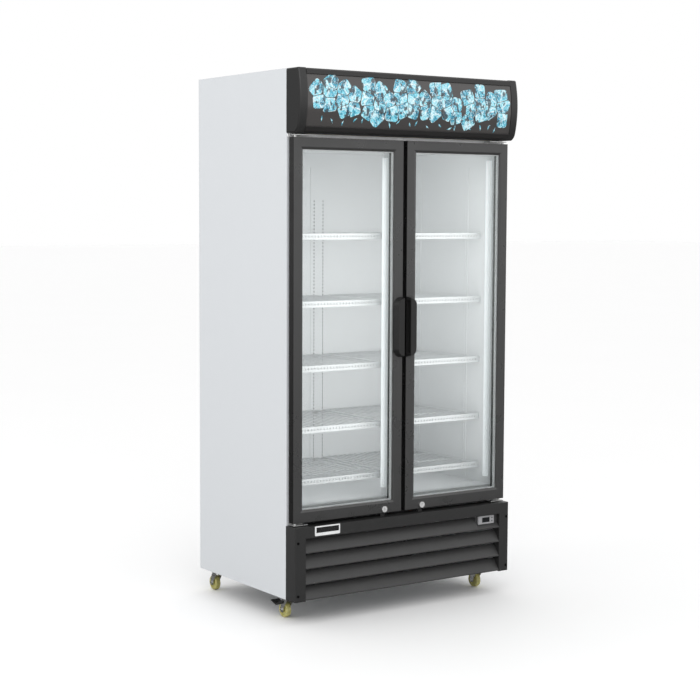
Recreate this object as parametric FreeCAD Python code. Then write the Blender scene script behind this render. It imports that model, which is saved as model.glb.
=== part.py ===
import FreeCAD, Part
import math
import os

# Upright display cooler with two swing glass doors, a curved light-box canopy, a louvred machine
# compartment and four casters. Millimetres, +Z up, the front faces -Y.
# The origin is on the floor, at the centre of the footprint.

V = FreeCAD.Vector

# overall size
WIDTH = 1000.0
DEPTH = 730.0
HEIGHT = 2010.0
HALF_WIDTH = WIDTH / 2
CANOPY_FRONT = -DEPTH / 2
BACK = DEPTH / 2
CABINET_FRONT = -275.0
CABINET_BOTTOM = 88.0
SHEET = 1.5
SIDE_BEND = 5.0

# storage space
INNER_HALF = 456.0
INNER_FLOOR = 428.0
INNER_CEILING = 1738.0
INNER_BACK = 278.0
CHAMBER_FRONT = -235.0
CHAMBER_TOP = 1964.0
FOAM_FRONT = -270.0
FLOOR_FOAM_BOTTOM = 384.0

# doors
DOOR_INNER = 8.4
DOOR_OUTER = 493.6
DOOR_BOTTOM = 374.0
DOOR_TOP = 1767.0
DOOR_FRONT = -313.5
DOOR_BACK = -280.5
GLASS_INNER = 51.0
GLASS_OUTER = 453.3
GLASS_BOTTOM = 420.0
GLASS_TOP = 1724.0
GLASS_BITE = 6.5
PANE = 4.0
OUTER_PANE_Y = -309.5
INNER_PANE_Y = -295.5
SPACER_WIDTH = 10.0
HINGE_X = 478.0
HINGE_Y = -300.0
PIN_RADIUS = 5.0
RUNNING = 0.05

# handles and locks
HANDLE_LOW = 959.0
HANDLE_HIGH = 1186.0
HANDLE_OUT = 23.0
HANDLE_EDGE = 52.0
LOCK_X = 88.0
LOCK_Z = 388.0
LOCK_RADIUS = 9.0

# canopy
CANOPY_BOTTOM = 1780.0
CAP_WIDTH = 33.0
SIGN_RADIUS = 390.0
SIGN_MID_Z = 1906.0
SIGN_CENTRE_Y = CANOPY_FRONT + SIGN_RADIUS

# kick panel and louvres
KICK_FRONT = -338.0
KICK_TOP = 361.0
LOUVRE_HALF = 454.0
LOUVRE_TOP = 319.0
LOUVRE_BOTTOM = 89.0
SLATS = 4
SLAT_TOP_Y = -306.0
SLAT_NOSE_Y = -337.5
SLAT_GAP = 9.0
SCREW_PLACES = [(x, z) for x in (-487.0, 489.0) for z in (110.0, 305.0)]
CONTROLLER_X = 395.0
CONTROLLER_Z = 298.0
BUTTON_X = 424.0
BUTTON_RADIUS = 2.5

# shelving
SHELF_TOPS = (1422.0, 1172.0, 933.0, 705.0, 511.0)
SHELF_OUTER = 452.0
SHELF_INNER = 14.0
SHELF_FRONT = -203.0
SHELF_BACK = 265.0
WIRE_PITCH = 27.0
STRIP_HEIGHT = 23.0
SLOT_PITCH = 14.0
PILASTER_LOW = 440.0
PILASTER_HIGH = 1680.0
SLOT_LOW = 508.0
SLOT_HIGH = 1553.0
SLOT_COLUMN = 21.3
SIDE_PILASTERS = (-107.0, 205.0)
MULLION_HALF = 38.0
MULLION_BACK = -218.0

# casters
WHEEL_RADIUS = 29.0
WHEEL_HALF = 10.0
KINGPIN_X = 450.0
FRONT_KINGPIN_Y = -216.0
REAR_KINGPIN_Y = 310.0
TRAIL = 25.0
PEDAL_PIVOT = (18.0, 60.0)
PEDAL_PIN = 2.5

# refrigeration
CONDENSER_FAN = V(-150.0, -165.0, 225.0)
EVAPORATOR_FAN = V(0.0, -140.0, 1785.0)


def box(x0, x1, y0, y1, z0, z1):
    return Part.makeBox(x1 - x0, y1 - y0, z1 - z0, V(x0, y0, z0))


def rod(start, axis, radius, length):
    return Part.makeCylinder(radius, length, V(*start), V(*axis))


def fuse(pieces):
    return pieces[0].multiFuse(pieces[1:]).removeSplitter()


def mirrored(shape):
    return shape.mirror(V(0, 0, 0), V(1, 0, 0))


def along_x(outline, x0, x1):
    """A prism from (y, z) points, from x0 to x1."""
    points = [V(x0, y, z) for y, z in outline]
    return Part.Face(Part.makePolygon(points + points[:1])).extrude(V(x1 - x0, 0, 0))


def along_z(outline, z0, z1):
    """A prism from (x, y) points, from z0 to z1."""
    points = [V(x, y, z0) for x, y in outline]
    return Part.Face(Part.makePolygon(points + points[:1])).extrude(V(0, 0, z1 - z0))


def edges_where(shape, test):
    return [edge for edge in shape.Edges if test(edge)]


def upright_edges(shape, x, y):
    """The vertical edges at one corner (x, y)."""
    def at_corner(edge):
        return all(abs(v.X - x) < 0.01 and abs(v.Y - y) < 0.01 for v in edge.Vertexes)
    return edges_where(shape, at_corner)


def save(name, *solids):
    shape = solids[0] if len(solids) == 1 else Part.Compound(list(solids))
    shape.exportStep("parts/" + name + ".step")


# cabinet

def side_panel():
    """Left side sheet, bent round the front edge into a flange."""
    outer = box(-HALF_WIDTH, -462, CABINET_FRONT, BACK, CABINET_BOTTOM, HEIGHT)
    outer = outer.makeFillet(SIDE_BEND, upright_edges(outer, -HALF_WIDTH, CABINET_FRONT))
    inner = box(-HALF_WIDTH + SHEET, -461, CABINET_FRONT + SHEET, BACK + 1, CABINET_BOTTOM - 1, HEIGHT + 1)
    inner_bend = upright_edges(inner, -HALF_WIDTH + SHEET, CABINET_FRONT + SHEET)
    inner = inner.makeFillet(SIDE_BEND - SHEET, inner_bend)
    return outer.cut(inner)


def back_panel():
    """Back sheet with vents behind the machine bay, and the bay's roof sheet."""
    side = HALF_WIDTH - SHEET
    sheet = box(-side, side, BACK - SHEET, BACK, CABINET_BOTTOM, HEIGHT)
    roof = box(-side, side, FOAM_FRONT, BACK - SHEET, FLOOR_FOAM_BOTTOM - SHEET, FLOOR_FOAM_BOTTOM)
    vents = [box(x, x + 60, BACK - 5, BACK + 5, z, z + 6)
             for x in range(-350, 330, 80) for z in range(150, 340, 18)]
    return fuse([sheet, roof]).cut(Part.Compound(vents))


def bay_plate(z0, z1):
    """A plate that fills the cabinet from side to side, rounded to fit the bends of the side sheets."""
    side, front = HALF_WIDTH - SHEET, CABINET_FRONT + SHEET
    plate = box(-side, side, front, BACK - SHEET, z0, z1)
    return plate.makeFillet(SIDE_BEND - SHEET, upright_edges(plate, -side, front) + upright_edges(plate, side, front))


def top_panel():
    return bay_plate(HEIGHT - SHEET, HEIGHT)


def base_tray():
    """Floor pan of the machine bay, with turned-up rims at the sides."""
    side = HALF_WIDTH - SHEET
    pan = bay_plate(CABINET_BOTTOM, CABINET_BOTTOM + 2)
    rims = [box(x, x + 2, FOAM_FRONT, BACK - SHEET, CABINET_BOTTOM, CABINET_BOTTOM + 22)
            for x in (-side, side - 2)]
    return fuse([pan] + rims)


def foam_insulation():
    """Foam between the outer sheets and the liner, foamed in place as one piece."""
    side = HALF_WIDTH - SHEET
    liner = INNER_HALF + SHEET
    block = box(-side, side, FOAM_FRONT, BACK - SHEET, FLOOR_FOAM_BOTTOM, HEIGHT - SHEET)
    space = box(-liner, liner, FOAM_FRONT - 1, INNER_BACK + SHEET, INNER_FLOOR - SHEET, INNER_CEILING + SHEET)
    chamber = box(-liner, liner, CHAMBER_FRONT - SHEET, INNER_BACK + SHEET, INNER_CEILING, CHAMBER_TOP + SHEET)
    return block.cut(space).cut(chamber)


def inner_liner():
    """Five coated sheets that line the storage space and the evaporator chamber."""
    outer = INNER_HALF + SHEET
    wall = box(INNER_HALF, outer, CHAMBER_FRONT, INNER_BACK, INNER_FLOOR, CHAMBER_TOP)
    lower = box(INNER_HALF, outer, FOAM_FRONT, CHAMBER_FRONT, INNER_FLOOR, INNER_CEILING)
    right = fuse([wall, lower])
    back = box(-outer, outer, INNER_BACK, INNER_BACK + SHEET, INNER_FLOOR - SHEET, CHAMBER_TOP + SHEET)
    floor = box(-outer, outer, FOAM_FRONT, INNER_BACK, INNER_FLOOR - SHEET, INNER_FLOOR)
    ceiling = box(-outer, outer, CHAMBER_FRONT, INNER_BACK, CHAMBER_TOP, CHAMBER_TOP + SHEET)
    return mirrored(right), right, back, floor, ceiling


def door_surround():
    """Front frame that the door gaskets close on, with the inner skin above the opening."""
    ring = box(-462, 462, CABINET_FRONT, FOAM_FRONT, DOOR_BOTTOM, DOOR_TOP + 1)
    ring = ring.cut(box(-INNER_HALF, INNER_HALF, -300, -200, INNER_FLOOR, INNER_CEILING))
    under = box(-INNER_HALF, INNER_HALF, FOAM_FRONT, CHAMBER_FRONT, INNER_CEILING, INNER_CEILING + SHEET)
    skin = box(-INNER_HALF, INNER_HALF, CHAMBER_FRONT - SHEET, CHAMBER_FRONT, INNER_CEILING, CHAMBER_TOP)
    return fuse([ring, under, skin])


def centre_mullion():
    post = box(-MULLION_HALF, MULLION_HALF, CABINET_FRONT, MULLION_BACK, INNER_FLOOR, INNER_CEILING - SHEET)
    corners = upright_edges(post, MULLION_HALF, MULLION_BACK) + upright_edges(post, -MULLION_HALF, MULLION_BACK)
    return post.makeFillet(4, corners)


# canopy

def sign_y(z, inset=0.0):
    """The front of the curved sign at height z."""
    return SIGN_CENTRE_Y - math.sqrt((SIGN_RADIUS - inset) ** 2 - (z - SIGN_MID_Z) ** 2)


def cap_wire(x, inset):
    """Side outline of the canopy: curved front, tucked-in bottom, rounded top corner."""
    top = HEIGHT - inset
    bottom = CANOPY_BOTTOM + inset
    back = CABINET_FRONT
    upper = V(x, sign_y(2003, inset), 2003)
    knee = V(x, sign_y(1808, inset), 1808)
    corner = V(x, upper.y + 7, top)
    toe = V(x, -331 + inset, bottom)
    edges = [
        Part.LineSegment(V(x, back, bottom), toe).toShape(),
        Part.Arc(toe, V(x, -344.5 + inset, 1791.5 + inset * 0.4), knee).toShape(),
        Part.Arc(knee, V(x, CANOPY_FRONT + inset, SIGN_MID_Z), upper).toShape(),
        Part.Arc(upper, V(x, upper.y + 2.2, 2003 + (top - 2003) * 0.78), corner).toShape(),
        Part.LineSegment(corner, V(x, back, top)).toShape(),
        Part.LineSegment(V(x, back, top), V(x, back, bottom)).toShape(),
    ]
    return Part.Wire(edges)


def canopy_cap():
    """Left end cap: a moulded shell with a rounded outer rim, open towards the sign."""
    rim = ((0.0, 5.5), (1.6, 1.6), (5.5, 0.0), (CAP_WIDTH, 0.0))
    body = Part.makeLoft([cap_wire(-HALF_WIDTH + x, inset) for x, inset in rim], True, True)
    hollow = Part.Face(cap_wire(-HALF_WIDTH + 7, 3.0)).extrude(V(CAP_WIDTH, 0, 0))
    return body.cut(hollow.cut(box(-600, 0, CABINET_FRONT - 3, 0, 1700, 2100)))


def canopy_housing():
    """Folded sheet behind the sign: back, top, bottom, top rail and bottom lip."""
    half = HALF_WIDTH - CAP_WIDTH
    front = CABINET_FRONT
    back = box(-half, half, front - SHEET, front, CANOPY_BOTTOM + 1, HEIGHT - 2)
    top = box(-half, half, -350, front, HEIGHT - 4, HEIGHT - 2)
    rail = along_x([(-358.6, 1988), (-355.2, 2003), (-350, 2008), (-348, 2006), (-351.2, 2002), (-355.4, 1988)],
                   -half, half)
    bottom = box(-half, half, -331, front, CANOPY_BOTTOM + 1, CANOPY_BOTTOM + 2.5)
    lip = along_x([(-331, 1781), (-346, 1788), (-353.5, 1802), (-350.2, 1803), (-347.8, 1795.5), (-343, 1789.5),
                   (-330, 1782.5)], -half, half)
    return fuse([back, top, rail, bottom, lip])


def sign_panel():
    """Curved acrylic sheet between the end caps."""
    half = HALF_WIDTH - CAP_WIDTH - 0.5
    low, high = 1797.0, 2000.0
    def arc(inset):
        points = [V(-half, sign_y(z, inset), z) for z in (low, SIGN_MID_Z, high)]
        return Part.Arc(*points).toShape()
    front = arc(2.0)
    rear = arc(4.5)
    ends = [Part.LineSegment(front.valueAt(t), rear.valueAt(s)).toShape()
            for t, s in ((front.FirstParameter, rear.FirstParameter), (front.LastParameter, rear.LastParameter))]
    wire = Part.Wire(Part.__sortEdges__([front, rear] + ends))
    return Part.Face(wire).extrude(V(2 * half, 0, 0))


def sign_lamp():
    """Batten with two tube holders and a light tube behind the sign."""
    back = CABINET_FRONT - SHEET
    batten = box(-440, 440, back - 14, back, 1886, 1904)
    holders = [box(x, x + 12, back - 44, back - 14, 1886, 1904) for x in (-440, 428)]
    tube = rod((-430, back - 34, 1895), (1, 0, 0), 8, 860)
    return fuse([batten, tube] + holders)


def trim_strip():
    """Bright strip above the doors, slotted for the top hinge brackets and hollow over their flanges."""
    strip = box(-497, 497, CABINET_FRONT - 3, CABINET_FRONT, DOOR_TOP + 1, CANOPY_BOTTOM)
    slot = box(403.8, 486.2, -300, 0, 1772.8, 1776.2)
    pocket = box(403.8, 462.2, CABINET_FRONT - 1.6, 0, 0, 2000)
    return strip.cut(Part.Compound([slot, pocket, mirrored(slot), mirrored(pocket)]))


# doors: shapes are made for the right door and mirrored for the left one

def door_frame():
    """Mitred profile frame with a rounded back edge, a glass groove, hinge holes and a lock pocket."""
    frame = box(DOOR_INNER, DOOR_OUTER, DOOR_FRONT, DOOR_BACK, DOOR_BOTTOM, DOOR_TOP)
    frame = frame.makeFillet(6, upright_edges(frame, DOOR_OUTER, DOOR_BACK))
    frame = frame.makeFillet(2, upright_edges(frame, DOOR_OUTER, DOOR_FRONT)
                             + upright_edges(frame, DOOR_INNER, DOOR_FRONT))
    frame = frame.cut(box(GLASS_INNER, GLASS_OUTER, -400, -200, GLASS_BOTTOM, GLASS_TOP))
    bevel = 9.0
    lip = [V(x, DOOR_FRONT, z) for x, z in (
        (GLASS_INNER - bevel, GLASS_BOTTOM - bevel), (GLASS_OUTER + bevel, GLASS_BOTTOM - bevel),
        (GLASS_OUTER + bevel, GLASS_TOP + bevel), (GLASS_INNER - bevel, GLASS_TOP + bevel))]
    deep = [V(x, DOOR_FRONT + 3, z) for x, z in (
        (GLASS_INNER, GLASS_BOTTOM), (GLASS_OUTER, GLASS_BOTTOM), (GLASS_OUTER, GLASS_TOP),
        (GLASS_INNER, GLASS_TOP))]
    funnel = Part.makeLoft([Part.makePolygon(lip + lip[:1]), Part.makePolygon(deep + deep[:1])], True, True)
    frame = frame.cut(funnel)
    frame = frame.cut(glass_slab(OUTER_PANE_Y, INNER_PANE_Y + PANE, GLASS_BITE + 0.5))
    for z in (DOOR_BOTTOM, DOOR_TOP - 24):
        frame = frame.cut(rod((HINGE_X, HINGE_Y, z), (0, 0, 1), PIN_RADIUS + RUNNING, 24))
    frame = frame.cut(rod((LOCK_X, DOOR_FRONT - 1, LOCK_Z), (0, 1, 0), LOCK_RADIUS + RUNNING, 23))
    return frame.cut(box(LOCK_X - 27, LOCK_X + 27, -298.6, -294.4, DOOR_BOTTOM - 1, LOCK_Z + 10))


def glass_slab(y0, y1, bite):
    return box(GLASS_INNER - bite, GLASS_OUTER + bite, y0, y1, GLASS_BOTTOM - bite, GLASS_TOP + bite)


def glass_panes():
    return (glass_slab(OUTER_PANE_Y, OUTER_PANE_Y + PANE, GLASS_BITE),
            glass_slab(INNER_PANE_Y, INNER_PANE_Y + PANE, GLASS_BITE))


def glass_spacer():
    """Hollow bar frame that holds the two panes apart."""
    ring = glass_slab(OUTER_PANE_Y + PANE, INNER_PANE_Y, GLASS_BITE)
    return ring.cut(glass_slab(-400, -200, GLASS_BITE - SPACER_WIDTH))


def door_gasket():
    """Magnetic gasket, with a rounded face towards the cabinet."""
    inner_x, outer_x = 16.0, 477.0
    low, high = 388.0, 1755.0
    width = 12.0
    near, far = DOOR_BACK, CABINET_FRONT - 0.3
    ring = box(inner_x, outer_x, near, far, low, high)
    return ring.cut(box(inner_x + width, outer_x - width, -400, -200, low + width, high - width))


def handle_wire(y, outer, inner, low, high, corner):
    """D-shaped outline of the grip: square at the gap, rounded at the outside."""
    k = corner * (1 - math.sqrt(0.5))
    points = [V(inner, y, low), V(outer - corner, y, low), V(outer, y, low + corner),
              V(outer, y, high - corner), V(outer - corner, y, high), V(inner, y, high)]
    edges = [
        Part.LineSegment(points[0], points[1]).toShape(),
        Part.Arc(points[1], V(outer - k, y, low + k), points[2]).toShape(),
        Part.LineSegment(points[2], points[3]).toShape(),
        Part.Arc(points[3], V(outer - k, y, high - k), points[4]).toShape(),
        Part.LineSegment(points[4], points[5]).toShape(),
        Part.LineSegment(points[5], points[0]).toShape(),
    ]
    return Part.Wire(edges)


def door_handle():
    """Moulded grip with sloping sides and a finger scoop on the side of the gap."""
    base = handle_wire(DOOR_FRONT, HANDLE_EDGE, DOOR_INNER, HANDLE_LOW, HANDLE_HIGH, 34)
    face = handle_wire(DOOR_FRONT - HANDLE_OUT, 41, 15, HANDLE_LOW + 6, HANDLE_HIGH - 6, 25)
    grip = Part.makeLoft([base, face], True, True)
    scoop = rod((8, DOOR_FRONT - 7, HANDLE_LOW + 14), (0, 0, 1), 13, HANDLE_HIGH - HANDLE_LOW - 28)
    scoop = scoop.cut(box(-50, 100, DOOR_FRONT - 2, -200, 0, 2000))
    return grip.cut(scoop)


def lock_plug():
    """Turning lock cylinder with a chromed head, a key slot and a cam behind."""
    head = rod((LOCK_X, DOOR_FRONT - 5, LOCK_Z), (0, 1, 0), 11.5, 4.9)
    head = head.makeChamfer(1.2, [head.Edges[0]])
    barrel = rod((LOCK_X, DOOR_FRONT - 0.2, LOCK_Z), (0, 1, 0), LOCK_RADIUS, 15.5)
    neck = rod((LOCK_X, -298.2, LOCK_Z), (0, 1, 0), 4, 3.4)
    cam = box(LOCK_X, LOCK_X + 23, -298.2, -294.8, LOCK_Z - 5, LOCK_Z + 5)
    slot = box(LOCK_X - 1.2, LOCK_X + 1.2, DOOR_FRONT - 6, DOOR_FRONT - 1, LOCK_Z - 5, LOCK_Z + 5)
    return fuse([head, barrel, neck, cam]).cut(slot)


def hinge_brackets():
    """Top and bottom brackets of both doors, each with its pin."""
    top = [box(404, 486, -314, CABINET_FRONT, 1773, 1776),
           box(404, 462, CABINET_FRONT - 1.5, CABINET_FRONT, 1768.5, 1779.5),
           rod((HINGE_X, HINGE_Y, DOOR_TOP - 20), (0, 0, 1), PIN_RADIUS, 1776 - DOOR_TOP + 20)]
    bottom = [box(430, 490, -314, CABINET_FRONT, 364, 367),
              box(430, 490, CABINET_FRONT - 2.5, CABINET_FRONT, KICK_TOP + 0.5, 373),
              rod((HINGE_X, HINGE_Y, 364), (0, 0, 1), PIN_RADIUS, DOOR_BOTTOM - 364 + 20)]
    right = [fuse(top), fuse(bottom)]
    return right + [mirrored(bracket) for bracket in right]


# kick panel

def kick_frame():
    """Deep bent front panel around the louvres, with two lock strikes on its top."""
    outer = box(-HALF_WIDTH, HALF_WIDTH, KICK_FRONT, CABINET_FRONT, CABINET_BOTTOM, KICK_TOP)
    corners = [edge for x in (-HALF_WIDTH, HALF_WIDTH) for edge in upright_edges(outer, x, KICK_FRONT)]
    outer = outer.makeFillet(4, corners)
    hollow = box(-HALF_WIDTH + 2, HALF_WIDTH - 2, KICK_FRONT + 2, 0, 0, KICK_TOP - 2)
    shell = outer.cut(hollow)
    shell = shell.cut(box(-LOUVRE_HALF, LOUVRE_HALF, -400, KICK_FRONT + 5, 0, LOUVRE_TOP))
    returns = [box(x, x + 2, KICK_FRONT + 1, -300, CABINET_BOTTOM, LOUVRE_TOP)
               for x in (-LOUVRE_HALF - 2, LOUVRE_HALF)]
    strikes = [box(x - 10, x + 10, -303, -301, KICK_TOP - 1, KICK_TOP + 9) for x in (-LOCK_X, LOCK_X)]
    screw_holes = [rod((x, KICK_FRONT - 1, z), (0, 1, 0), 2.6, 4) for x, z in SCREW_PLACES]
    return fuse([shell] + returns + strikes).cut(Part.Compound(screw_holes))


def panel_screws():
    """Four identical pan-head screws that hold the kick panel."""
    screws = []
    for x, z in SCREW_PLACES:
        shank = rod((x, KICK_FRONT - 0.5, z), (0, 1, 0), 2.5, 14)
        head = rod((x, KICK_FRONT - 2.2, z), (0, 1, 0), 4.8, 2.2)
        recess = box(x - 2.6, x + 2.6, KICK_FRONT - 3, KICK_FRONT - 1.2, z - 0.5, z + 0.5)
        cross = box(x - 0.5, x + 0.5, KICK_FRONT - 3, KICK_FRONT - 1.2, z - 2.6, z + 2.6)
        screws.append(fuse([shank, head]).cut(recess).cut(cross))
    return screws


def slat_outline(top, bottom):
    """Section of a slat: it slopes out to a rounded nose and turns back in below."""
    return [(SLAT_TOP_Y, top), (SLAT_NOSE_Y, bottom + 5), (SLAT_NOSE_Y, bottom + 1.5), (SLAT_NOSE_Y + 2, bottom),
            (SLAT_NOSE_Y + 14, bottom + 1.2), (SLAT_NOSE_Y + 14, bottom + 2.8), (SLAT_NOSE_Y + 2.6, bottom + 1.8),
            (SLAT_NOSE_Y + 1.6, bottom + 3), (SLAT_NOSE_Y + 1.6, bottom + 5.3), (SLAT_TOP_Y + 1.6, top)]


def louvre_slats():
    """Four folded slats; the top one stops short of the plate that carries the controller."""
    pitch = (LOUVRE_TOP - LOUVRE_BOTTOM) / SLATS
    end = LOUVRE_HALF - 0.5
    slats = []
    for row in range(SLATS):
        top = LOUVRE_TOP - 0.5 - row * pitch
        right = CONTROLLER_X - 45 if row == 0 else end
        slats.append(along_x(slat_outline(top - SLAT_GAP, top - pitch + 2), -end, right))
    top = LOUVRE_TOP - 0.5
    nose = top - pitch + 2
    plate = along_x([(-322, top), (-322, 282), (SLAT_NOSE_Y, nose + 5), (SLAT_NOSE_Y, nose + 1.5),
                     (SLAT_NOSE_Y + 2, nose), (SLAT_NOSE_Y + 14, nose + 1.2), (SLAT_NOSE_Y + 14, nose + 2.8),
                     (SLAT_NOSE_Y + 2.6, nose + 1.8), (SLAT_NOSE_Y + 1.6, nose + 3),
                     (SLAT_NOSE_Y + 1.6, nose + 5.4), (-320.4, 282.6), (-320.4, top)],
                    CONTROLLER_X - 44, end)
    window = box(CONTROLLER_X - 36, CONTROLLER_X + 36, -330, -310, CONTROLLER_Z - 14.5, CONTROLLER_Z + 14.5)
    slats.append(plate.cut(window))
    return slats


def controller():
    """Temperature controller: bezel with a display window, and a body behind the plate."""
    x, z = CONTROLLER_X, CONTROLLER_Z
    bezel = box(x - 39, x + 39, -328, -322, z - 15.2, z + 17)
    bezel = bezel.makeFillet(2, edges_where(bezel, lambda e: abs(e.Vertexes[0].X - e.Vertexes[-1].X) < 0.01
                                            and abs(e.Vertexes[0].Z - e.Vertexes[-1].Z) < 0.01))
    body = box(x - 35.5, x + 35.5, -322, -268, z - 14, z + 14)
    window = box(x - 20, x + 18, -330, -327.2, z - 9, z + 11)
    shape = fuse([bezel, body]).cut(window)
    for z_button in button_heights():
        shape = shape.cut(rod((BUTTON_X, -330, z_button), (0, 1, 0), BUTTON_RADIUS + 0.1, 8))
    return shape


def button_heights():
    return (CONTROLLER_Z + 7, CONTROLLER_Z - 5)


def controller_button(z):
    return rod((BUTTON_X, -329.2, z), (0, 1, 0), BUTTON_RADIUS, 4.5)


# shelving and lighting

def slots(columns, depth_box):
    """Rows of small slots; depth_box(column, z) gives each slot's box."""
    count = int((SLOT_HIGH - SLOT_LOW) / SLOT_PITCH) + 1
    return [depth_box(column, SLOT_LOW + row * SLOT_PITCH) for column in columns for row in range(count)]


def pilasters():
    """Slotted strips: centre back, behind the mullion, and two on each side wall."""
    columns = (-SLOT_COLUMN, SLOT_COLUMN)
    centre = box(-38, 38, INNER_BACK - 2, INNER_BACK, PILASTER_LOW, PILASTER_HIGH)
    centre = centre.cut(Part.Compound(slots(columns, lambda x, z: box(
        x - 2.2, x + 2.2, INNER_BACK - 4, INNER_BACK + 1, z - 3.5, z + 3.5))))
    post = box(-30, 30, MULLION_BACK, MULLION_BACK + 2, PILASTER_LOW, PILASTER_HIGH)
    post = post.cut(Part.Compound(slots(columns, lambda x, z: box(
        x - 2.2, x + 2.2, MULLION_BACK - 1, MULLION_BACK + 4, z - 3.5, z + 3.5))))
    right = []
    for y in SIDE_PILASTERS:
        strip = box(INNER_HALF - 2, INNER_HALF, y - 12, y + 12, PILASTER_LOW, PILASTER_HIGH)
        right.append(strip.cut(Part.Compound(slots((y,), lambda c, z: box(
            INNER_HALF - 4, INNER_HALF + 1, c - 2.2, c + 2.2, z - 3.5, z + 3.5)))))
    return [centre, post] + right + [mirrored(strip) for strip in right]


def shelf_clips():
    """Four hooked clips under each of the ten shelves."""
    clips = []
    for top in SHELF_TOPS:
        low, high = top - 20, top - 12.2
        side = [box(442, INNER_HALF - 2, y - 7, y + 7, low, high) for y in SIDE_PILASTERS]
        rear = box(15, 28, SHELF_BACK - 12, INNER_BACK - 2, low, high)
        front = box(15, 28, MULLION_BACK + 2, MULLION_BACK + 24, low, high)
        right = side + [rear, front]
        clips += right + [mirrored(clip) for clip in right]
    return clips


def wire_shelf(top):
    """Right-hand shelf: a rod rim, two cross rods, and wires from front to back."""
    rim = 3.0
    wire = 1.5
    z = top - 9
    inner, outer = SHELF_INNER + rim, SHELF_OUTER - rim
    front, back = SHELF_FRONT + rim, SHELF_BACK - rim
    rods = [rod((inner, y, z), (1, 0, 0), rim, outer - inner) for y in (front, back)]
    rods += [rod((x, front, z), (0, 1, 0), rim, back - front) for x in (inner, outer)]
    rods += [rod((inner, y, z), (1, 0, 0), rim - 0.5, outer - inner) for y in (front + 150, front + 310)]
    rods += [Part.makeSphere(rim, V(x, y, z)) for x in (inner, outer) for y in (front, back)]
    count = int((outer - inner) / WIRE_PITCH)
    step = (outer - inner) / (count + 1)
    rods += [rod((inner + step * (n + 1), front - 1, z + 3.6), (0, 1, 0), wire, back - front + 2)
             for n in range(count)]
    return fuse(rods)


def shelf_stack():
    first = wire_shelf(SHELF_TOPS[0])
    return [first.translated(V(0, 0, top - SHELF_TOPS[0])) for top in SHELF_TOPS]


def price_strips():
    """Front strips of the shelves, each with a row of punched slots."""
    inner, outer = 31.0, SHELF_OUTER - 3
    z = SHELF_TOPS[0]
    strip = box(inner, outer, SHELF_FRONT - 2.5, SHELF_FRONT, z - STRIP_HEIGHT, z)
    count = int((outer - inner) / SLOT_PITCH)
    holes = [box(inner + 4 + n * SLOT_PITCH, inner + 10 + n * SLOT_PITCH, SHELF_FRONT - 4, SHELF_FRONT + 1,
                 z - 15, z - 7.5) for n in range(count)]
    first = strip.cut(Part.Compound(holes))
    right = [first.translated(V(0, 0, top - z)) for top in SHELF_TOPS]
    return right + [mirrored(piece) for piece in right]


def interior_lamps():
    """Vertical light strips on the side walls and on the mullion."""
    def bar(x_wall, direction, y):
        outline = [(x_wall, y - 12), (x_wall + direction * 8, y - 12), (x_wall + direction * 13, y - 7),
                   (x_wall + direction * 13, y + 7), (x_wall + direction * 8, y + 12), (x_wall, y + 12)]
        return along_z(outline, 458, 1704)
    right = [bar(INNER_HALF, -1, -250), bar(MULLION_HALF, 1, -244)]
    return right + [mirrored(lamp) for lamp in right]


# refrigeration

def fin_coil(x0, x1, y0, y1, z0, z1, rows):
    """Finned coil: plates between end plates, with straight tubes and return bends."""
    pieces = [box(x, x + 1.2, y0, y1, z0, z1) for x in range(int(x0), int(x1), 12)]
    middle = (y0 + y1) / 2
    step = (z1 - z0) / rows
    heights = [z0 + step * (n + 0.5) for n in range(rows)]
    pieces += [rod((x0 - 6, middle, z), (1, 0, 0), 5, x1 - x0 + 12) for z in heights]
    for n in range(rows - 1):
        x = x1 + 6 if n % 2 == 0 else x0 - 12
        pieces.append(box(x, x + 6, middle - 5, middle + 5, heights[n] - 5, heights[n + 1] + 5))
    return pieces[0].multiFuse(pieces[1:])


def compressor():
    """Hermetic compressor: domed can with a seam, terminal cover, feet plate and grommets."""
    x, y, z = 260.0, 130.0, CABINET_BOTTOM + 2
    can = rod((x, y, z + 22), (0, 0, 1), 74, 110)
    can = can.makeFillet(30, [can.Edges[0], can.Edges[2]])
    seam = rod((x, y, z + 80), (0, 0, 1), 78, 5)
    feet = box(x - 85, x + 85, y - 55, y + 55, z + 14, z + 17)
    grommets = [rod((x + a * 72, y + b * 42, z), (0, 0, 1), 9, 14) for a in (-1, 1) for b in (-1, 1)]
    post = rod((x, y, z + 15), (0, 0, 1), 40, 12)
    cover = box(x - 96, x - 60, y - 28, y + 28, z + 50, z + 100)
    return fuse([can, seam, feet, post, cover] + grommets)


def fan_blades(centre, axis, hub, tip, height):
    """Five pitched blades on a hub, with a bore for the motor shaft; built along Z."""
    pieces = [Part.makeCylinder(hub, height, V(0, 0, -height / 2))]
    for n in range(5):
        blade = Part.makeBox(tip - hub + 4, hub * 1.7, 2, V(hub - 4, -hub * 0.85, -1))
        blade.rotate(V(0, 0, 0), V(1, 0, 0), 24)
        blade.rotate(V(0, 0, 0), V(0, 0, 1), 72 * n)
        pieces.append(blade)
    fan = fuse(pieces).cut(Part.makeCylinder(3 + RUNNING, height + 2, V(0, 0, -height / 2 - 1)))
    if axis.y:
        fan.rotate(V(0, 0, 0), V(1, 0, 0), 90)
    return fan.translated(centre)


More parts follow.
